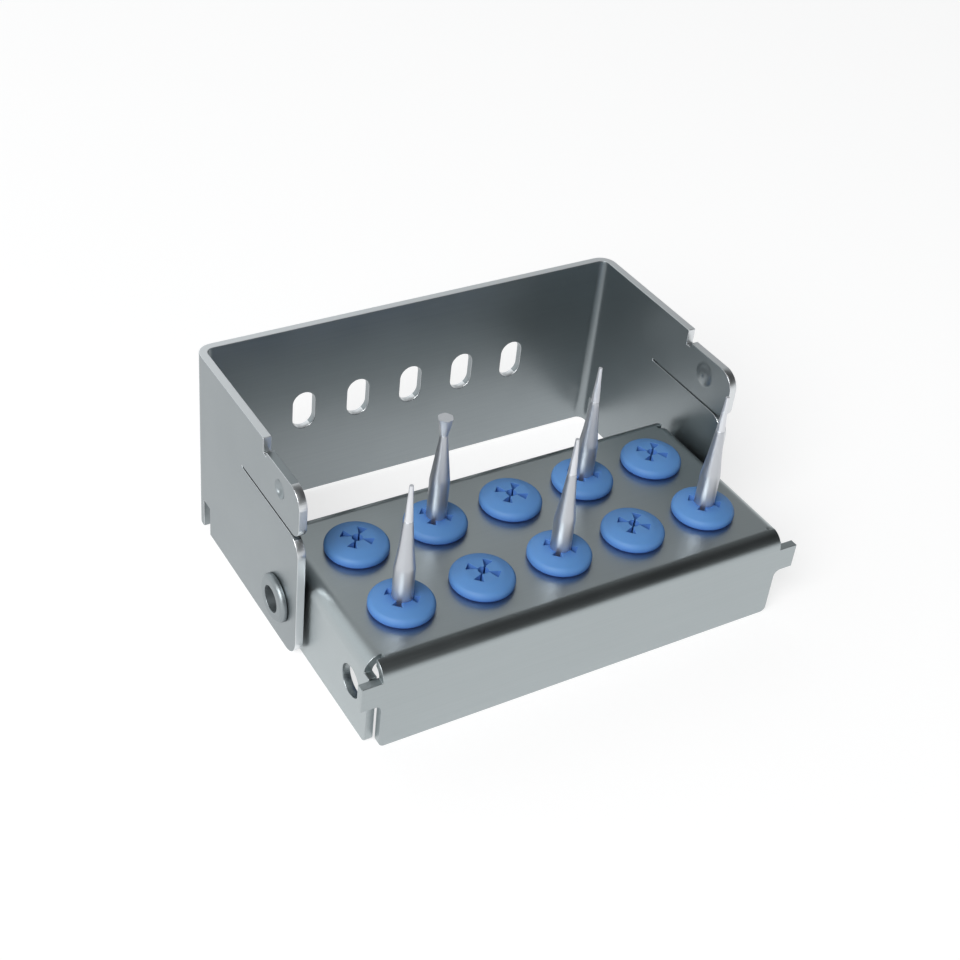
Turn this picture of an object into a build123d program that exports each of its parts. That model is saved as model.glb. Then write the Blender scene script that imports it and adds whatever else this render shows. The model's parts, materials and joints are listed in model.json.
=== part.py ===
"""Dental bur block: a folded steel stand, its hinged cover, rubber grommets and the burs they hold.

Millimetres. +X runs along the long side, +Y to the back, where the open cover stands, and +Z up.
Each piece is drawn about the middle of the base's footprint on the table. When it is written it is
moved forwards, so that the origin is the bottom centre of the whole block with its cover open.
"""

import os

from build123d import *

# Base: one sheet folded down on four sides
sheet = 1.0
bend_radius = 2.0
base_width = 54.4
base_depth = 26.0
base_height = 11.4
front_wall_inset = 1.1
side_wall_gap = 0.2
corner_relief = 0.5
ear_inset = 0.1
ear_height = 3.2
ear_fillet = 0.8
wall_corner_radius = 0.7

# Grid of grommets, counted in from the base's edges
columns = 5
column_inset = 7.2
row_inset = 7.75
plate_hole_diameter = 5.6

# Grommet
flange_diameter = 7.4
flange_height = 1.6
flange_rim_height = 1.05
flange_rim_radius = 0.7
flange_foot_radius = 0.4
flange_crown_diameter = 4.2
flange_crown_radius = 3.0
barb_diameter = 6.6
barb_tip_diameter = 5.0
barb_straight_height = 0.6
barb_height = 2.0
empty_bore_diameter = 1.2
slit_width = 0.2
slit_reach = 1.85
pocket_inner_radius = 0.85
pocket_inner_width = 0.3
pocket_outer_width = 1.15
pocket_depth = 0.8
cross_angle = 45.0

# Pivot: a hollow rivet on each side, near the rear of the base
pivot_inset = 5.8
pivot_drop = 5.6
rivet_diameter = 4.2
rivet_bore_diameter = 3.2
rivet_flange_diameter = 5.8
rivet_flange_height = 0.8
rivet_inner_flange_diameter = 5.6
rivet_inner_flange_height = 0.5
rivet_edge_radius = 0.55
rivet_mouth_radius = 0.2
rivet_running_clearance = 0.05

# Snap: a dimple in the cover that clicks into a hole near the front of the base
snap_hole_inset = 5.0
snap_hole_diameter = 3.9
dimple_diameter = 3.4
dimple_rise = 0.4
recess_diameter = 2.3
recess_depth = 0.65

# Cover: one sheet bent to a U, standing open
cover_gap = 0.45
cover_foot_z = 0.3
closed_edge_inset = 1.2
closed_foot_clearance = 1.0
bur_headroom = 0.65
tongue_length = 9.1
tongue_step_height = 1.35
tongue_corner_radius = 2.2
tongue_heel_radius = 1.5
step_notch_width = 0.8
step_notch_depth = 0.6
slit_drop = 3.75
slit_gap = 0.3
slit_length = 14.7
lobe_corner_radius = 2.4
wing_foot_radius = 2.4
relief_inset = 4.35
relief_width = 1.9
relief_height = 4.0

# Vent slots through the cover's panel
vent_count = 5
vent_inset = 13.85
vent_width = 3.0
vent_height = 5.2
vent_drop = 12.0

# Burs with latch-type shanks; a tip's height is counted from the grommet's top
shank_diameter = 2.35
bur_length = 22.0
latch_flat_length = 4.5
latch_flat_depth = 0.55
latch_groove_start = 1.5
latch_groove_width = 0.75
latch_groove_diameter = 1.75
shank_end_chamfer = 0.25
slim_tip_height = 14.7
slim_head_length = 4.5
slim_neck_length = 3.8
slim_shoulder_length = 2.5
slim_neck_diameter = 1.7
slim_head_diameter = 1.0
slim_tip_diameter = 0.5
cone_tip_height = 13.4
cone_crown_length = 0.3
cone_head_length = 2.3
cone_neck_length = 6.2
cone_neck_diameter = 0.9
cone_rim_diameter = 1.8

# Lengths closer than this are taken as equal when edges and corners are picked
match_tolerance = 0.01

# Base and grommets: sizes that follow from the ones above
bend_line_z = base_height - bend_radius
front_wall_width = base_width - 2 * front_wall_inset
side_wall_depth = base_depth - 2 * (sheet + side_wall_gap)
flat_plate_width = base_width - 2 * bend_radius
side_clearance = (front_wall_width - flat_plate_width) / 2
side_bend_depth = base_depth - 2 * bend_radius - corner_relief
column_pitch = (base_width - 2 * column_inset) / (columns - 1)
row_pitch = base_depth - 2 * row_inset
grommet_top_z = base_height + flange_height

# Pivot, snap and cover: where they sit follows from the base and from the tallest bur
pivot_y = base_depth / 2 - pivot_inset
pivot_z = base_height - pivot_drop
snap_hole_y = snap_hole_inset - base_depth / 2
dimple_z = pivot_z + pivot_y - snap_hole_y
cover_width = base_width + 2 * (cover_gap + sheet)
ear_reach = cover_width / 2 - ear_inset
cover_front_y = pivot_y - pivot_z + closed_foot_clearance
cover_back_y = pivot_y - pivot_z + grommet_top_z + slim_tip_height + bur_headroom + sheet
cover_top_z = pivot_z + pivot_y + base_depth / 2 - closed_edge_inset
tongue_top_z = cover_top_z - tongue_step_height
tongue_step_y = cover_front_y + tongue_length
slit_z = dimple_z - slit_drop
relief_front_y = cover_back_y - relief_inset
vent_pitch = (cover_width - 2 * vent_inset) / (vent_count - 1)
vent_z = cover_top_z - vent_drop
footprint_middle_y = (cover_back_y - base_depth / 2) / 2

os.makedirs("parts", exist_ok=True)


def write(part, label):
    """Move a finished piece into the block's frame, name it and write it to its own file."""
    placed = part.moved(Location((0, -footprint_middle_y, 0)))
    placed.label = label
    export_step(placed, f"parts/{label}.step")


def folded_channel(plane, span):
    """Draw an upside-down U of sheet, span wide over its outer faces, on a standing plane."""
    with BuildSketch(plane) as channel:
        with BuildLine():
            FilletPolyline(
                (-span / 2, 0),
                (-span / 2, base_height),
                (span / 2, base_height),
                (span / 2, 0),
                radius=bend_radius,
            )
            offset(amount=sheet, side=Side.RIGHT)
        make_face()
    return channel.sketch


# Base
with BuildPart() as base:
    # Top plate with its front and rear walls
    extrude(folded_channel(Plane.YZ, base_depth), amount=front_wall_width / 2, both=True)
    # The plate's ends are cleared for the side bends, up to the corner reliefs
    with Locations(
        (flat_plate_width / 2 + side_clearance / 2, 0, base_height / 2),
        (-flat_plate_width / 2 - side_clearance / 2, 0, base_height / 2),
    ):
        Box(side_clearance, side_bend_depth + 2 * corner_relief, 2 * base_height, mode=Mode.SUBTRACT)
    # Side bends stop at the corner reliefs, and the side walls run on to the front and rear walls
    extrude(folded_channel(Plane.XZ, base_width), amount=side_bend_depth / 2, both=True)
    with Locations(
        (base_width / 2 - sheet / 2, 0, 0),
        (-base_width / 2 + sheet / 2, 0, 0),
    ):
        Box(sheet, side_wall_depth, bend_line_z, align=(Align.CENTER, Align.CENTER, Align.MIN))
    # Ears of the front wall, which stop the closed cover
    with BuildSketch(Plane.XZ.offset(base_depth / 2)) as front_wall:
        Rectangle(front_wall_width, bend_line_z, align=(Align.CENTER, Align.MIN))
        with Locations((0, bend_line_z)):
            Rectangle(2 * ear_reach, ear_height, align=(Align.CENTER, Align.MAX))
        wall_corners = front_wall.vertices().filter_by(
            lambda v: abs(abs(v.X) - front_wall_width / 2) < match_tolerance
        )
        fillet(wall_corners.filter_by(lambda v: v.Y > match_tolerance), ear_fillet)
    extrude(amount=-sheet)
    # Rounded lower corners of all four walls
    foot_edges = base.edges().group_by(Axis.Z)[0]
    fillet(
        foot_edges.filter_by(lambda e: abs(e.length - sheet) < match_tolerance),
        wall_corner_radius,
    )
    # Holes for the grommets
    with BuildSketch(Plane.XY.offset(base_height)):
        with GridLocations(column_pitch, row_pitch, columns, 2):
            Circle(plate_hole_diameter / 2)
    extrude(amount=-sheet, mode=Mode.SUBTRACT)
    # Pivot and snap holes, through both side walls
    with BuildSketch(Plane.YZ):
        with Locations((pivot_y, pivot_z)):
            Circle(rivet_diameter / 2)
        with Locations((snap_hole_y, pivot_z)):
            Circle(snap_hole_diameter / 2)
    extrude(amount=base_width, both=True, mode=Mode.SUBTRACT)
write(base.part, "base")


# Spherical caps that shape the snap dimple: its raised inside and its hollow outside
def spherical_cap(diameter, height):
    """A dome on the ground plane, with the given foot diameter and height."""
    ball_radius = (diameter**2 / 4 + height**2) / (2 * height)
    with BuildPart() as cap:
        with Locations((0, 0, height - ball_radius)):
            Sphere(ball_radius)
        split(bisect_by=Plane.XY, keep=Keep.TOP)
    return cap.part


dimple_bump = spherical_cap(dimple_diameter, dimple_rise)
dimple_recess = spherical_cap(recess_diameter, recess_depth)


# Cover, standing open behind the base
with BuildPart() as cover:
    # A U of sheet, seen from above
    with BuildSketch(Plane.XY.offset(cover_foot_z)):
        with BuildLine():
            FilletPolyline(
                (-cover_width / 2, cover_front_y),
                (-cover_width / 2, cover_back_y),
                (cover_width / 2, cover_back_y),
                (cover_width / 2, cover_front_y),
                radius=bend_radius,
            )
            offset(amount=sheet, side=Side.RIGHT)
        make_face()
    extrude(amount=cover_top_z - cover_foot_z)
    # Outline of the wings, seen from the side: a pivot lobe below, a spring tongue above
    with BuildSketch(Plane.YZ) as wing:
        with BuildLine():
            Polyline(
                (cover_front_y, cover_foot_z),
                (cover_back_y, cover_foot_z),
                (cover_back_y, cover_top_z),
                (tongue_step_y, cover_top_z),
                (tongue_step_y, tongue_top_z),
                (cover_front_y, tongue_top_z),
                close=True,
            )
        make_face()
        # Slit that frees the tongue
        with Locations((cover_front_y, slit_z)):
            Rectangle(
                slit_length,
                slit_gap,
                align=(Align.MIN, Align.CENTER),
                mode=Mode.SUBTRACT,
            )
        # Relief slot beside the rear bend
        with Locations((relief_front_y, cover_foot_z)):
            Rectangle(relief_width, relief_height, align=Align.MIN, mode=Mode.SUBTRACT)
        # Relief notch at the foot of the step
        with Locations((tongue_step_y, tongue_top_z)):
            Rectangle(
                step_notch_width,
                2 * step_notch_depth,
                align=(Align.MAX, Align.CENTER),
                mode=Mode.SUBTRACT,
            )
        for corner, radius in (
            ((cover_front_y, cover_foot_z), wing_foot_radius),
            ((cover_front_y, slit_z - slit_gap / 2), lobe_corner_radius),
            ((cover_front_y, slit_z + slit_gap / 2), tongue_heel_radius),
            ((cover_front_y, tongue_top_z), tongue_corner_radius),
        ):
            fillet(wing.vertices().sort_by_distance(corner)[0], radius)
    extrude(amount=cover_width, both=True, mode=Mode.INTERSECT)
    # Running holes on the rivets
    with BuildSketch(Plane.YZ):
        with Locations((pivot_y, pivot_z)):
            Circle(rivet_diameter / 2 + rivet_running_clearance)
    extrude(amount=cover_width, both=True, mode=Mode.SUBTRACT)
    # Snap dimples, pressed inwards in both tongues
    for side in (-1, 1):
        inner_face = Plane((side * (cover_width / 2 - sheet), pivot_y, dimple_z), z_dir=(-side, 0, 0))
        outer_face = Plane((side * cover_width / 2, pivot_y, dimple_z), z_dir=(-side, 0, 0))
        with Locations(inner_face):
            add(dimple_bump)
        with Locations(outer_face):
            add(dimple_recess, mode=Mode.SUBTRACT)
    # Vent slots in the panel
    with BuildSketch(Plane.XZ.offset(-cover_back_y)):
        with Locations((0, vent_z)):
            with GridLocations(vent_pitch, 0, vent_count, 1):
                SlotOverall(vent_height, vent_width, rotation=90)
    extrude(amount=sheet, mode=Mode.SUBTRACT)
write(cover.part, "cover")


# Hollow rivets that hinge the cover
def make_rivet(side):
    """One rivet, flanged outside the wing and rolled over inside the base's wall."""
    inner_end = base_width / 2 - sheet
    outer_end = cover_width / 2 + rivet_running_clearance
    with BuildPart() as rivet:
        with BuildSketch(Plane((0, pivot_y, pivot_z))) as half_section:
            with BuildLine():
                Polyline(
                    (side * (inner_end - rivet_inner_flange_height), rivet_bore_diameter / 2),
                    (side * (inner_end - rivet_inner_flange_height), rivet_inner_flange_diameter / 2),
                    (side * inner_end, rivet_inner_flange_diameter / 2),
                    (side * inner_end, rivet_diameter / 2),
                    (side * outer_end, rivet_diameter / 2),
                    (side * outer_end, rivet_flange_diameter / 2),
                    (side * (outer_end + rivet_flange_height), rivet_flange_diameter / 2),
                    (side * (outer_end + rivet_flange_height), rivet_bore_diameter / 2),
                    close=True,
                )
            make_face()
            flange_face = half_section.vertices().filter_by(
                lambda v: abs(abs(v.X) - outer_end - rivet_flange_height) < match_tolerance
            )
            fillet(flange_face.sort_by(Axis.Y)[-1], rivet_edge_radius)
            fillet(flange_face.sort_by(Axis.Y)[0], rivet_mouth_radius)
        revolve(axis=Axis((0, pivot_y, pivot_z), (1, 0, 0)))
    return rivet.part


write(make_rivet(-1), "pivot_rivet_left")
write(make_rivet(1), "pivot_rivet_right")


# Rubber grommets: one arm of the cross is a slit right through, with a wedge-shaped pocket on top
with BuildSketch() as slit_arm:
    Rectangle(slit_reach, slit_width, align=(Align.MIN, Align.CENTER))

with BuildSketch() as pocket_arm:
    with BuildLine():
        Polyline(
            (pocket_inner_radius, -pocket_inner_width / 2),
            (slit_reach, -pocket_outer_width / 2),
            (slit_reach, pocket_outer_width / 2),
            (pocket_inner_radius, pocket_inner_width / 2),
            close=True,
        )
    make_face()


def make_grommet(x, y, bore_diameter):
    """A grommet snapped into the plate at x, y, with a cross-shaped slit round its bore."""
    plate_underside = base_height - sheet
    grommet_foot_z = plate_underside - barb_height
    with BuildPart() as grommet:
        with BuildSketch(Plane((x, y, 0), x_dir=(1, 0, 0), z_dir=(0, -1, 0))) as half_section:
            with BuildLine():
                Polyline(
                    (0, grommet_foot_z),
                    (barb_tip_diameter / 2, grommet_foot_z),
                    (barb_diameter / 2, plate_underside - barb_straight_height),
                    (barb_diameter / 2, plate_underside),
                    (plate_hole_diameter / 2, plate_underside),
                    (plate_hole_diameter / 2, base_height),
                    (flange_diameter / 2, base_height),
                    (flange_diameter / 2, base_height + flange_rim_height),
                    (flange_crown_diameter / 2, grommet_top_z),
                    (0, grommet_top_z),
                    close=True,
                )
            make_face()
            for corner, radius in (
                ((flange_diameter / 2, base_height), flange_foot_radius),
                ((flange_diameter / 2, base_height + flange_rim_height), flange_rim_radius),
                ((flange_crown_diameter / 2, grommet_top_z), flange_crown_radius),
            ):
                fillet(half_section.vertices().sort_by_distance(corner)[0], radius)
        revolve(axis=Axis((x, y, 0), (0, 0, 1)))
        # Bore and slits, right through
        with BuildSketch(Plane((x, y, grommet_top_z))):
            Circle(bore_diameter / 2)
            with PolarLocations(0, 4, start_angle=cross_angle):
                add(slit_arm.sketch)
        extrude(amount=grommet_foot_z - grommet_top_z, mode=Mode.SUBTRACT)
        # Pockets round the slits
        with BuildSketch(Plane((x, y, grommet_top_z))):
            with PolarLocations(0, 4, start_angle=cross_angle):
                add(pocket_arm.sketch)
        extrude(amount=-pocket_depth, mode=Mode.SUBTRACT)
    return grommet.part


# Burs: a steel shank with a carbide head brazed to it
def turned(x, y, profile):
    """A turned piece standing at x, y, from the half profile of its outside."""
    with BuildPart() as piece:
        with BuildSketch(Plane((x, y, 0), x_dir=(1, 0, 0), z_dir=(0, -1, 0))):
            with BuildLine():
                Polyline((0, profile[0][1]), *profile, (0, profile[-1][1]), close=True)
            make_face()
        revolve(axis=Axis((x, y, 0), (0, 0, 1)))
    return piece.part


def make_shank(x, y, tip_height, neck):
    """Latch-type shank with its neck, given as radius and height above the grommet."""
    end_z = grommet_top_z + tip_height - bur_length
    radius = shank_diameter / 2
    groove_radius = latch_groove_diameter / 2
    groove_z = end_z + latch_groove_start
    profile = [
        (radius - shank_end_chamfer, end_z),
        (radius, end_z + shank_end_chamfer),
        (radius, groove_z),
        (groove_radius, groove_z),
        (groove_radius, groove_z + latch_groove_width),
        (radius, groove_z + latch_groove_width),
    ]
    profile += [(r, grommet_top_z + height) for r, height in neck]
    with BuildPart() as shank:
        add(turned(x, y, profile))
        # Driving flat of the latch
        with Locations((x, y + radius - latch_flat_depth, end_z)):
            Box(
                shank_diameter,
                latch_flat_depth,
                latch_flat_length,
                align=(Align.CENTER, Align.MIN, Align.MIN),
                mode=Mode.SUBTRACT,
            )
    return shank.part


def make_head(x, y, outline):
    """Carbide head, given as radius and height above the grommet."""
    return turned(x, y, [(r, grommet_top_z + height) for r, height in outline])


# Slim bur: a long taper to a fine tip
slim_head_height = slim_tip_height - slim_head_length
slim_neck_height = slim_head_height - slim_neck_length
slim_neck = [
    (shank_diameter / 2, slim_neck_height - slim_shoulder_length),
    (slim_neck_diameter / 2, slim_neck_height),
    (slim_head_diameter / 2, slim_head_height),
]
slim_head = [
    (slim_head_diameter / 2, slim_head_height),
    (slim_tip_diameter / 2, slim_tip_height - slim_tip_diameter / 2),
    (slim_tip_diameter / 4, slim_tip_height),
]
slim_bur = (slim_tip_height, slim_neck, slim_head)

# Inverted-cone bur: a slender neck that flares out at the top
cone_head_height = cone_tip_height - cone_head_length
cone_neck = [
    (shank_diameter / 2, cone_head_height - cone_neck_length),
    (cone_neck_diameter / 2, cone_head_height),
]
cone_head = [
    (cone_neck_diameter / 2, cone_head_height),
    (cone_rim_diameter / 2, cone_tip_height - cone_crown_length),
    (cone_neck_diameter / 2, cone_tip_height),
]
cone_bur = (cone_tip_height, cone_neck, cone_head)

burs = {
    ("front", 1): slim_bur,
    ("front", 3): slim_bur,
    ("front", 5): slim_bur,
    ("back", 2): cone_bur,
    ("back", 4): slim_bur,
}

for row, row_y in (("front", -row_pitch / 2), ("back", row_pitch / 2)):
    for column in range(1, columns + 1):
        column_x = (column - (columns + 1) / 2) * column_pitch
        place = f"{row}_{column}"
        bur = burs.get((row, column))
        bore = shank_diameter if bur else empty_bore_diameter
        write(make_grommet(column_x, row_y, bore), f"grommet_{place}")
        if bur:
            tip_height, neck, head = bur
            write(make_shank(column_x, row_y, tip_height, neck), f"bur_shank_{place}")
            write(make_head(column_x, row_y, head), f"bur_head_{place}")
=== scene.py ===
import json
import math

import bmesh
import bpy
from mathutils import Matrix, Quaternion, Vector
from mathutils.bvhtree import BVHTree


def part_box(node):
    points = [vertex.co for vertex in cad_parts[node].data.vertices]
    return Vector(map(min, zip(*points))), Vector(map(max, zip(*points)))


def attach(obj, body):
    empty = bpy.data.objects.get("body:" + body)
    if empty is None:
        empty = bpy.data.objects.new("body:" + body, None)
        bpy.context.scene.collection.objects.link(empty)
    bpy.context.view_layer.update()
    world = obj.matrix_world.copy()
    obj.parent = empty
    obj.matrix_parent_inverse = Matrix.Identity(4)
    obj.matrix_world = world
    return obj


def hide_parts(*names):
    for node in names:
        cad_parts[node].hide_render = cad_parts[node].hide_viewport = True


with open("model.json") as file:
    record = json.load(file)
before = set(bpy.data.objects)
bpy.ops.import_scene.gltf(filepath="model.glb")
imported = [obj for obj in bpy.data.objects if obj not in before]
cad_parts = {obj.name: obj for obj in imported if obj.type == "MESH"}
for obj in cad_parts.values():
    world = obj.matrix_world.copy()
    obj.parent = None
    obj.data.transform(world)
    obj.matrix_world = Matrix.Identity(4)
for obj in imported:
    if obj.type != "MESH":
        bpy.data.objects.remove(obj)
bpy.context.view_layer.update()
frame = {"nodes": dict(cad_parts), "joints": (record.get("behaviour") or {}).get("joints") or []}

nodes = frame["nodes"]


# Folded steel sheets: the base and the cover.
# Both are 1 mm stainless sheet, cut by laser, tumbled to break the edges, then folded.
# The copy of each solid gets the small rounded edge that the tumbling leaves.
def finished_copy(node_name, edge_round, sharp_angle):
    """A piece that stands for a CAD node, with its edges rounded by edge_round metres."""
    same_point = 1e-7
    same_plane = math.radians(0.5)
    work = bmesh.new()
    work.from_mesh(nodes[node_name].data)
    bmesh.ops.remove_doubles(work, verts=work.verts, dist=same_point)
    bmesh.ops.dissolve_limit(
        work, angle_limit=same_plane, verts=work.verts, edges=work.edges
    )
    mesh = bpy.data.meshes.new(node_name + "_finished")
    work.to_mesh(mesh)
    work.free()
    piece = bpy.data.objects.new(node_name + "_finished", mesh)
    bpy.context.scene.collection.objects.link(piece)
    mesh.shade_smooth()
    rounding = piece.modifiers.new("edge_round", "BEVEL")
    rounding.width = edge_round
    rounding.segments = 2
    rounding.limit_method = "ANGLE"
    rounding.angle_limit = sharp_angle
    flats = piece.modifiers.new("flat_faces_stay_flat", "WEIGHTED_NORMAL")
    flats.mode = "FACE_AREA"
    flats.weight = 100
    baked = bpy.data.meshes.new_from_object(
        piece.evaluated_get(bpy.context.evaluated_depsgraph_get())
    )
    piece.modifiers.clear()
    piece.data = baked
    return piece


def linear(hex_colour):
    """An sRGB hex colour as the linear values that a shader takes."""
    channels = [int(hex_colour[i : i + 2], 16) / 255 for i in (1, 3, 5)]
    return [c / 12.92 if c <= 0.04045 else ((c + 0.055) / 1.055) ** 2.4 for c in channels] + [1]


def add_node(tree, kind, settings=(), links=(), **values):
    """Add a node with its settings, its input values by name, and links from other sockets."""
    node = tree.nodes.new(kind)
    for name, value in dict(settings).items():
        setattr(node, name, value)
    for name, value in values.items():
        node.inputs[name.replace("_", " ")].default_value = value
    for name, socket in dict(links).items():
        tree.links.new(socket, node.inputs[name])
    return node


def new_material(name):
    """An empty material with its output and its Principled shader."""
    material = bpy.data.materials.new(name)
    material.use_nodes = True
    tree = material.node_tree
    tree.nodes.clear()
    surface = add_node(tree, "ShaderNodeBsdfPrincipled")
    add_node(tree, "ShaderNodeOutputMaterial", links={"Surface": surface.outputs["BSDF"]})
    return material, tree, surface


# Satin stainless sheet: a metal with soft reflections. The rolling and fine brushing run along the
# long side and show as faint streaks, and the tumbled surface blurs them a little. The real lines
# are finer than a pixel, so they are drawn 0.16 mm wide.
def satin_sheet(name, dark_streak, light_streak):
    """Satin stainless steel with brushed streaks between two sRGB colours."""
    material, tree, surface = new_material(name)
    place = add_node(tree, "ShaderNodeTexCoord").outputs["Object"]
    streak_length = 0.012
    streak_width = 0.00016
    stretched = add_node(
        tree,
        "ShaderNodeMapping",
        links={"Vector": place},
        Scale=(1 / streak_length, 1 / streak_width, 1 / streak_width),
    )
    streaks = add_node(
        tree,
        "ShaderNodeTexNoise",
        links={"Vector": stretched.outputs["Vector"]},
        Scale=1.0,
        Detail=3.0,
        Roughness=0.55,
    )
    cloud_size = 0.007
    clouds = add_node(
        tree, "ShaderNodeTexNoise", links={"Vector": place}, Scale=1 / cloud_size, Detail=2.0
    )
    tone = add_node(
        tree,
        "ShaderNodeMapRange",
        links={"Value": clouds.outputs["Fac"]},
        From_Min=0.3,
        From_Max=0.7,
        To_Min=0.31,
        To_Max=0.35,
    )
    shine = add_node(
        tree,
        "ShaderNodeMath",
        settings={"operation": "MULTIPLY_ADD"},
        links={0: streaks.outputs["Fac"], 2: tone.outputs["Result"]},
    )
    shine.inputs[1].default_value = 0.05
    tree.links.new(shine.outputs["Value"], surface.inputs["Roughness"])
    tint = add_node(
        tree,
        "ShaderNodeMix",
        settings={"data_type": "RGBA"},
        links={"Factor": streaks.outputs["Fac"]},
    )
    tint.inputs["A"].default_value = linear(dark_streak)
    tint.inputs["B"].default_value = linear(light_streak)
    tree.links.new(tint.outputs["Result"], surface.inputs["Base Color"])
    relief = add_node(
        tree,
        "ShaderNodeBump",
        links={"Height": streaks.outputs["Fac"]},
        Strength=0.06,
        Distance=0.00002,
    )
    tree.links.new(relief.outputs["Normal"], surface.inputs["Normal"])
    surface.inputs["Metallic"].default_value = 1.0
    return material


# The cover's outer edges are painted lighter than its rolled faces, a painted highlight along the
# edges, with the fine marks of the laser.
painted_highlight_edge, tree, surface = new_material("laser_cut_stainless_edge_painted_highlight")
place = add_node(tree, "ShaderNodeTexCoord").outputs["Object"]
dross_size = 0.00009
dross = add_node(
    tree, "ShaderNodeTexNoise", links={"Vector": place}, Scale=1 / dross_size, Detail=2.0
)
shine = add_node(
    tree,
    "ShaderNodeMapRange",
    links={"Value": dross.outputs["Fac"]},
    To_Min=0.34,
    To_Max=0.44,
)
tree.links.new(shine.outputs["Result"], surface.inputs["Roughness"])
relief = add_node(
    tree, "ShaderNodeBump", links={"Height": dross.outputs["Fac"]}, Strength=0.15, Distance=0.00001
)
tree.links.new(relief.outputs["Normal"], surface.inputs["Normal"])
surface.inputs["Base Color"].default_value = linear("#E0E3E5")
surface.inputs["Metallic"].default_value = 1.0


def mark_highlight_edge_faces(mesh, sheet_depth, open_reach):
    """Give the second material, the painted edge highlight, to the outer edges: deep steel behind
    them and none in front.
    """
    off_face = 1e-5
    mesh.calc_loop_triangles()
    largest = {}
    for triangle in mesh.loop_triangles:
        known = largest.get(triangle.polygon_index)
        if known is None or triangle.area > known.area:
            largest[triangle.polygon_index] = triangle
    corners = [vertex.co for vertex in mesh.vertices]
    solid = BVHTree.FromPolygons(corners, [face.vertices for face in mesh.polygons])
    for index, triangle in largest.items():
        face = mesh.polygons[index]
        middle = sum((corners[i] for i in triangle.vertices), Vector()) / 3
        depth = solid.ray_cast(middle - face.normal * off_face, -face.normal)[3]
        facing = solid.ray_cast(middle + face.normal * off_face, face.normal, open_reach)[3]
        if depth is not None and depth > sheet_depth and facing is None:
            face.material_index = 1


base_steel = satin_sheet("satin_stainless_base_sheet", "#A8B0B2", "#B1B8BA")
# Painted shade: the cover is the same steel as the base, painted a shade darker
cover_steel_painted_shade = satin_sheet("satin_stainless_cover_sheet_painted_shade", "#8F9699", "#979EA1")
tumbled_edge = 0.00012
folded_angle = math.radians(40)
for node_name, body, steels in (
    ("base", "block", (base_steel,)),
    ("cover", "cover", (cover_steel_painted_shade, painted_highlight_edge)),
):
    piece = finished_copy(node_name, tumbled_edge, folded_angle)
    piece.data.materials.clear()
    for steel in steels:
        piece.data.materials.append(steel)
    # The cover's outer edges get the painted highlight
    if painted_highlight_edge in steels:
        mark_highlight_edge_faces(piece.data, sheet_depth=0.002, open_reach=0.004)
    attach(piece, body)
    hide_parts(node_name)


# Hollow rivets at the hinge: turned stainless eyelets, their rims rolled over the wing.
# The turning leaves fine rings round the bore, drawn coarser than they are, so that they show.
pivot = Vector(frame["joints"][0]["pos_m"])
rivet_steel, tree, surface = new_material("turned_stainless_rivet")
place = add_node(tree, "ShaderNodeTexCoord").outputs["Object"]
centred = add_node(
    tree, "ShaderNodeMapping", links={"Vector": place}, Location=(0, -pivot.y, -pivot.z)
)
ring_spacing = 0.00022
# A wave texture at scale 1 repeats every 0.314 m
wave_period = 0.314
rings = add_node(
    tree,
    "ShaderNodeTexWave",
    settings={"wave_type": "RINGS", "rings_direction": "X"},
    links={"Vector": centred.outputs["Vector"]},
    Scale=wave_period / ring_spacing,
    Distortion=0.4,
)
relief = add_node(
    tree, "ShaderNodeBump", links={"Height": rings.outputs["Fac"]}, Strength=0.12, Distance=0.00001
)
tree.links.new(relief.outputs["Normal"], surface.inputs["Normal"])
shine = add_node(
    tree,
    "ShaderNodeMapRange",
    links={"Value": rings.outputs["Fac"]},
    To_Min=0.44,
    To_Max=0.52,
)
tree.links.new(shine.outputs["Result"], surface.inputs["Roughness"])
surface.inputs["Base Color"].default_value = linear("#949B9E")
surface.inputs["Metallic"].default_value = 1.0

rolled_edge = 0.0001
for side in ("left", "right"):
    node_name = "pivot_rivet_" + side
    piece = finished_copy(node_name, rolled_edge, folded_angle)
    piece.data.materials.clear()
    piece.data.materials.append(rivet_steel)
    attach(piece, "block")
    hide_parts(node_name)


# Grommets: moulded silicone, pushed through the plate until the flange seats.
# Solid blue, matt, a little translucent, with the fine grain of the mould, which is drawn 0.25 mm
# wide so that it shows.
silicone, tree, surface = new_material("moulded_blue_silicone")
place = add_node(tree, "ShaderNodeTexCoord").outputs["Object"]
skin_grain = 0.00025
skin = add_node(
    tree, "ShaderNodeTexNoise", links={"Vector": place}, Scale=1 / skin_grain, Detail=2.0
)
patch_size = 0.004
patches = add_node(
    tree, "ShaderNodeTexNoise", links={"Vector": place}, Scale=1 / patch_size, Detail=2.0
)
tint = add_node(
    tree,
    "ShaderNodeMix",
    settings={"data_type": "RGBA"},
    links={"Factor": patches.outputs["Fac"]},
)
tint.inputs["A"].default_value = linear("#5687C0")
tint.inputs["B"].default_value = linear("#5D8EC8")
# Painted shade: ambient occlusion turns the colour a saturated dark blue in creases and under the
# flange
painted_crease_shade_reach = 0.002
painted_crease_shade = add_node(
    tree, "ShaderNodeAmbientOcclusion", settings={"samples": 8}, Distance=painted_crease_shade_reach
)
shaded = add_node(
    tree,
    "ShaderNodeMix",
    settings={"data_type": "RGBA"},
    links={"Factor": painted_crease_shade.outputs["AO"], "B": tint.outputs["Result"]},
)
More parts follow.
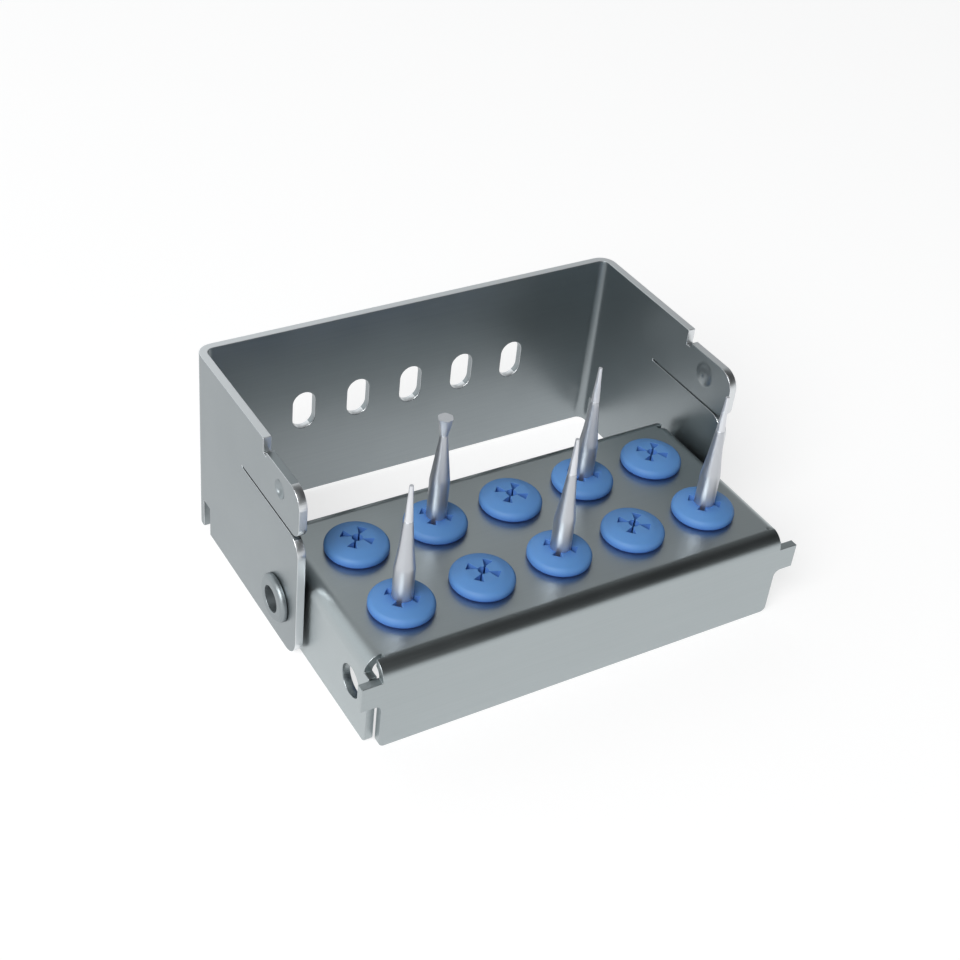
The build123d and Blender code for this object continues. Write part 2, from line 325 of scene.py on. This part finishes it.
# The saturated dark blue of the painted crease shade
shaded.inputs["A"].default_value = linear("#2456B4")
tree.links.new(shaded.outputs["Result"], surface.inputs["Base Color"])
shine = add_node(
    tree,
    "ShaderNodeMapRange",
    links={"Value": patches.outputs["Fac"]},
    To_Min=0.48,
    To_Max=0.6,
)
tree.links.new(shine.outputs["Result"], surface.inputs["Roughness"])
relief = add_node(
    tree, "ShaderNodeBump", links={"Height": skin.outputs["Fac"]}, Strength=0.15, Distance=0.00001
)
tree.links.new(relief.outputs["Normal"], surface.inputs["Normal"])
surface.inputs["IOR"].default_value = 1.41
surface.inputs["Subsurface Weight"].default_value = 0.08
surface.inputs["Subsurface Radius"].default_value = (0.2, 0.4, 1.0)
surface.inputs["Subsurface Scale"].default_value = 0.0006

# The knife leaves the faces of the bore and of the slits duller than the skin; their darker blue
# is painted shade in these recesses.
recess_shade_silicone, tree, surface = new_material("blue_silicone_painted_recess_shade")
place = add_node(tree, "ShaderNodeTexCoord").outputs["Object"]
tear_size = 0.0003
tears = add_node(
    tree, "ShaderNodeTexNoise", links={"Vector": place}, Scale=1 / tear_size, Detail=3.0
)
tint = add_node(
    tree,
    "ShaderNodeMix",
    settings={"data_type": "RGBA"},
    links={"Factor": tears.outputs["Fac"]},
)
tint.inputs["A"].default_value = linear("#4471B6")
tint.inputs["B"].default_value = linear("#4D7CC2")
tree.links.new(tint.outputs["Result"], surface.inputs["Base Color"])
surface.inputs["Roughness"].default_value = 0.7
surface.inputs["IOR"].default_value = 1.41

# The bore and the slits, whose faces get the painted shade, stay within this distance of the axis
# and below the skin
painted_shade_reach = 0.0019
skin_depth = 0.00008
moulded_edge = 0.00004
moulded_angle = math.radians(35)
for node_name in sorted(n for n in nodes if n.startswith("grommet_")):
    piece = finished_copy(node_name, moulded_edge, moulded_angle)
    low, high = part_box(node_name)
    piece.data.materials.clear()
    piece.data.materials.append(silicone)
    piece.data.materials.append(recess_shade_silicone)
    # Faces of the bore and the slits take the painted recess shade
    for face in piece.data.polygons:
        off_axis = face.center.xy - ((low + high) / 2).xy
        if off_axis.length < painted_shade_reach and face.center.z < high.z - skin_depth:
            face.material_index = 1
    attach(piece, "block")
    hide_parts(node_name)


# Bur shanks: hardened steel bar, turned and ground, with the latch milled at the hidden end.
# Bright, with rings round the axis from the grinding, drawn 0.18 mm apart so that they show.
shank_steel, tree, surface = new_material("ground_steel_shank")
place = add_node(tree, "ShaderNodeTexCoord").outputs["Object"]
ground_ring = 0.00018
rings = add_node(
    tree,
    "ShaderNodeTexWave",
    settings={"wave_type": "BANDS", "bands_direction": "Z"},
    links={"Vector": place},
    Scale=wave_period / ground_ring,
    Distortion=1.5,
    Detail=2.0,
)
relief = add_node(
    tree, "ShaderNodeBump", links={"Height": rings.outputs["Fac"]}, Strength=0.08, Distance=0.00001
)
tree.links.new(relief.outputs["Normal"], surface.inputs["Normal"])
shine = add_node(
    tree,
    "ShaderNodeMapRange",
    links={"Value": rings.outputs["Fac"]},
    To_Min=0.38,
    To_Max=0.46,
)
tree.links.new(shine.outputs["Result"], surface.inputs["Roughness"])
surface.inputs["Base Color"].default_value = linear("#C6C9CE")
surface.inputs["Metallic"].default_value = 1.0

ground_edge = 0.00006
milled_angle = math.radians(30)
for node_name in sorted(n for n in nodes if n.startswith("bur_shank_")):
    piece = finished_copy(node_name, ground_edge, milled_angle)
    piece.data.materials.clear()
    piece.data.materials.append(shank_steel)
    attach(piece, "block")
    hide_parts(node_name)


# Carbide heads: sintered tungsten carbide, brazed on and ground with spiral flutes.
# A pale grey, a little duller than the steel, with grinding marks drawn 0.1 mm wide to show.
carbide, tree, surface = new_material("ground_tungsten_carbide")
place = add_node(tree, "ShaderNodeTexCoord").outputs["Object"]
grit = 0.0001
marks = add_node(tree, "ShaderNodeTexNoise", links={"Vector": place}, Scale=1 / grit, Detail=3.0)
shine = add_node(
    tree,
    "ShaderNodeMapRange",
    links={"Value": marks.outputs["Fac"]},
    To_Min=0.42,
    To_Max=0.52,
)
tree.links.new(shine.outputs["Result"], surface.inputs["Roughness"])
relief = add_node(
    tree, "ShaderNodeBump", links={"Height": marks.outputs["Fac"]}, Strength=0.1, Distance=0.00001
)
tree.links.new(relief.outputs["Normal"], surface.inputs["Normal"])
surface.inputs["Base Color"].default_value = linear("#E2E4E8")
surface.inputs["Metallic"].default_value = 1.0

# The flutes are cut by a rule: each ring of the cone is drawn in between the blades,
# and the cut turns round the axis as it climbs.
flute_tree = bpy.data.node_groups.new("spiral_flutes", "GeometryNodeTree")
flute_tree.interface.new_socket("Geometry", in_out="OUTPUT", socket_type="NodeSocketGeometry")
flute_inputs = {}
for name, kind in (
    ("Foot Radius", "NodeSocketFloat"),
    ("Top Radius", "NodeSocketFloat"),
    ("Length", "NodeSocketFloat"),
    ("Blades", "NodeSocketFloat"),
    ("Cut Depth", "NodeSocketFloat"),
    ("Turn per Metre", "NodeSocketFloat"),
    ("Centre", "NodeSocketVector"),
    ("Material", "NodeSocketMaterial"),
):
    socket = flute_tree.interface.new_socket(name, in_out="INPUT", socket_type=kind)
    flute_inputs[name] = socket.identifier
entry = add_node(flute_tree, "NodeGroupInput").outputs
blank = add_node(
    flute_tree,
    "GeometryNodeMeshCone",
    settings={"fill_type": "NGON"},
    links={
        "Radius Top": entry["Top Radius"],
        "Radius Bottom": entry["Foot Radius"],
        "Depth": entry["Length"],
    },
    Vertices=96,
    Side_Segments=48,
)
point = add_node(flute_tree, "GeometryNodeInputPosition").outputs["Position"]
part = add_node(flute_tree, "ShaderNodeSeparateXYZ", links={"Vector": point}).outputs


def maths(operation, first, second=None):
    """One arithmetic step on a socket and a number or another socket."""
    links = {0: first}
    if hasattr(second, "links"):
        links[1] = second
    node = add_node(flute_tree, "ShaderNodeMath", settings={"operation": operation}, links=links)
    if second is not None and not hasattr(second, "links"):
        node.inputs[1].default_value = second
    return node.outputs["Value"]


angle = maths("ARCTAN2", part["Y"], part["X"])
phase = maths(
    "ADD",
    maths("MULTIPLY", angle, entry["Blades"]),
    maths("MULTIPLY", part["Z"], entry["Turn per Metre"]),
)
valley = maths("ABSOLUTE", maths("COSINE", maths("MULTIPLY", phase, 0.5)))
share_up = maths("DIVIDE", part["Z"], entry["Length"])
# The cut runs in over the lowest eighth of the head
run_in = maths("MINIMUM", maths("MULTIPLY", share_up, 8.0), 1.0)
depth = maths("MULTIPLY", run_in, entry["Cut Depth"])
cut = maths("MULTIPLY", maths("MULTIPLY", valley, depth), -1.0)
outward = add_node(
    flute_tree, "ShaderNodeCombineXYZ", links={"X": part["X"], "Y": part["Y"]}
).outputs["Vector"]
pull = add_node(
    flute_tree,
    "ShaderNodeVectorMath",
    settings={"operation": "SCALE"},
    links={"Vector": outward, "Scale": cut},
).outputs["Vector"]
shift = add_node(
    flute_tree,
    "ShaderNodeVectorMath",
    settings={"operation": "ADD"},
    links={0: pull, 1: entry["Centre"]},
).outputs["Vector"]
moved = add_node(
    flute_tree,
    "GeometryNodeSetPosition",
    links={"Geometry": blank.outputs["Mesh"], "Offset": shift},
).outputs["Geometry"]
whole = add_node(flute_tree, "GeometryNodeRealizeInstances", links={"Geometry": moved})
dressed = add_node(
    flute_tree,
    "GeometryNodeSetMaterial",
    links={"Geometry": whole.outputs["Geometry"], "Material": entry["Material"]},
)
add_node(flute_tree, "NodeGroupOutput", links={"Geometry": dressed.outputs["Geometry"]})

cone_neck_radius = 0.00045
needle_tip_radius = 0.00022
for node_name in sorted(n for n in nodes if n.startswith("bur_head_")):
    low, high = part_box(node_name)
    middle = (low + high) / 2
    widening = node_name == "bur_head_back_2"
    full_radius = (high.x - low.x) / 2
    flutes = {
        "Foot Radius": cone_neck_radius if widening else full_radius,
        "Top Radius": full_radius if widening else needle_tip_radius,
        "Length": high.z - low.z,
        "Blades": 6.0,
        "Cut Depth": 0.08 if widening else 0.06,
        "Turn per Metre": 1200.0 if widening else 1500.0,
        "Centre": (middle.x, middle.y, low.z),
        "Material": carbide,
    }
    piece = bpy.data.objects.new(node_name + "_fluted", bpy.data.meshes.new(node_name + "_blank"))
    bpy.context.scene.collection.objects.link(piece)
    shaper = piece.modifiers.new("flutes", "NODES")
    shaper.node_group = flute_tree
    for name, value in flutes.items():
        shaper[flute_inputs[name]] = value
    baked = bpy.data.meshes.new_from_object(
        piece.evaluated_get(bpy.context.evaluated_depsgraph_get())
    )
    piece.modifiers.clear()
    piece.data = baked
    baked.shade_smooth()
    baked.set_sharp_from_angle(angle=math.radians(45))
    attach(piece, "block")
    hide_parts(node_name)


# Table and studio: a plain white surface with soft light from all round.
# The table shows white to the eye and in the steel alike, and still takes the block's shadow.
table_mesh = bpy.data.meshes.new("table")
reach = 1.5
table_mesh.from_pydata(
    [(-reach, -reach, 0), (reach, -reach, 0), (reach, reach, 0), (-reach, reach, 0)],
    [],
    [(0, 1, 2, 3)],
)
table = bpy.data.objects.new("table", table_mesh)
bpy.context.scene.collection.objects.link(table)
# Matt white laminate: no sheen, only a faint mottle
laminate, tree, surface = new_material("matt_white_laminate")
place = add_node(tree, "ShaderNodeTexCoord").outputs["Object"]
mottle = add_node(tree, "ShaderNodeTexNoise", links={"Vector": place}, Scale=40.0)
shine = add_node(
    tree, "ShaderNodeMapRange", links={"Value": mottle.outputs["Fac"]}, To_Min=0.7, To_Max=0.8
)
tree.links.new(shine.outputs["Result"], surface.inputs["Roughness"])
surface.inputs["Base Color"].default_value = linear("#999999")
surface.inputs["Specular IOR Level"].default_value = 0.2
surface.inputs["Emission Color"].default_value = linear("#FFFFFF")
ray = add_node(tree, "ShaderNodeLightPath").outputs
seen = add_node(
    tree,
    "ShaderNodeMath",
    settings={"operation": "MAXIMUM"},
    links={0: ray["Is Camera Ray"], 1: ray["Is Glossy Ray"]},
).outputs["Value"]
seen = add_node(
    tree,
    "ShaderNodeMath",
    settings={"operation": "MAXIMUM"},
    links={0: seen, 1: ray["Is Transmission Ray"]},
).outputs["Value"]
light_on_block = 0.2
white_to_the_eye = 0.73
glow = add_node(
    tree,
    "ShaderNodeMapRange",
    links={"Value": seen},
    To_Min=light_on_block,
    To_Max=white_to_the_eye,
)
tree.links.new(glow.outputs["Result"], surface.inputs["Emission Strength"])
table.data.materials.append(laminate)

world = bpy.data.worlds.new("studio")
bpy.context.scene.world = world
world.use_nodes = True
tree = world.node_tree
tree.nodes.clear()
direction = add_node(tree, "ShaderNodeTexCoord").outputs["Generated"]
split = add_node(tree, "ShaderNodeSeparateXYZ", links={"Vector": direction}).outputs
dome = add_node(tree, "ShaderNodeValToRGB", links={"Fac": split["Z"]})
stops = ((0.0, 1.0), (0.3, 0.8), (0.64, 0.76), (0.85, 0.12), (1.0, 0.06))
while len(dome.color_ramp.elements) < len(stops):
    dome.color_ramp.elements.new(0.5)
for stop, (position, level) in zip(dome.color_ramp.elements, stops):
    stop.position = position
    stop.color = (level * 0.97, level, level * 1.01, 1)
sideways = add_node(
    tree,
    "ShaderNodeMapRange",
    links={"Value": split["X"]},
    From_Min=0.2,
    From_Max=0.6,
    To_Min=1.1,
    To_Max=0.45,
)
# The room is dark in front, which draws the dark line along the front bend
frontal = add_node(
    tree,
    "ShaderNodeMapRange",
    links={"Value": split["Y"]},
    From_Min=-0.2,
    From_Max=0.7,
    To_Min=0.05,
    To_Max=1.32,
)
level = add_node(
    tree,
    "ShaderNodeMath",
    settings={"operation": "MULTIPLY"},
    links={0: sideways.outputs["Result"], 1: frontal.outputs["Result"]},
)
# Low down, the backdrop is white on every side
backdrop = add_node(
    tree,
    "ShaderNodeMapRange",
    links={"Value": split["Z"]},
    From_Min=0.05,
    From_Max=0.2,
    To_Min=1.0,
    To_Max=0.0,
)
strength = add_node(
    tree,
    "ShaderNodeMix",
    settings={"data_type": "FLOAT"},
    links={"Factor": backdrop.outputs["Result"], "A": level.outputs["Value"]},
    B=1.0,
)
sky = add_node(
    tree,
    "ShaderNodeBackground",
    links={"Color": dome.outputs["Color"], "Strength": strength.outputs["Result"]},
)
add_node(tree, "ShaderNodeOutputWorld", links={"Surface": sky.outputs["Background"]})

lamp_place = Vector((-0.66, -0.42, 0.66))
lamp = bpy.data.lights.new("key_light", "AREA")
lamp.shape = "DISK"
lamp.size = 0.75
lamp.energy = 11.0
light = bpy.data.objects.new("key_light", lamp)
light.location = lamp_place
light.rotation_mode = "QUATERNION"
light.rotation_quaternion = (-lamp_place).to_track_quat("-Z", "Y")
bpy.context.scene.collection.objects.link(light)


# Camera: stands to the left of the block and looks down on it, a little tilted,
# as the photograph's camera does.
view_azimuth = math.radians(32.324)
view_elevation = math.radians(37.259)
view_roll = math.radians(5.376)
camera_place = Vector((-0.08619, -0.12205, 0.12489))
frame_px = 960
view_centre_px = 430
camera_data = bpy.data.cameras.new("camera")
camera_data.lens = 59.73
camera_data.sensor_width = 36.0
camera_data.shift_x = (frame_px / 2 - view_centre_px) / frame_px
camera_data.clip_start = 0.005
camera_data.clip_end = 10.0
camera = bpy.data.objects.new("camera", camera_data)
bpy.context.scene.collection.objects.link(camera)
look = Vector(
    (
        math.sin(view_azimuth) * math.cos(view_elevation),
        math.cos(view_azimuth) * math.cos(view_elevation),
        -math.sin(view_elevation),
    )
)
camera.location = camera_place
camera.rotation_mode = "QUATERNION"
camera.rotation_quaternion = look.to_track_quat("-Z", "Y") @ Quaternion((0, 0, 1), view_roll)
bpy.context.scene.camera = camera
bpy.context.scene.view_settings.view_transform = "Standard"
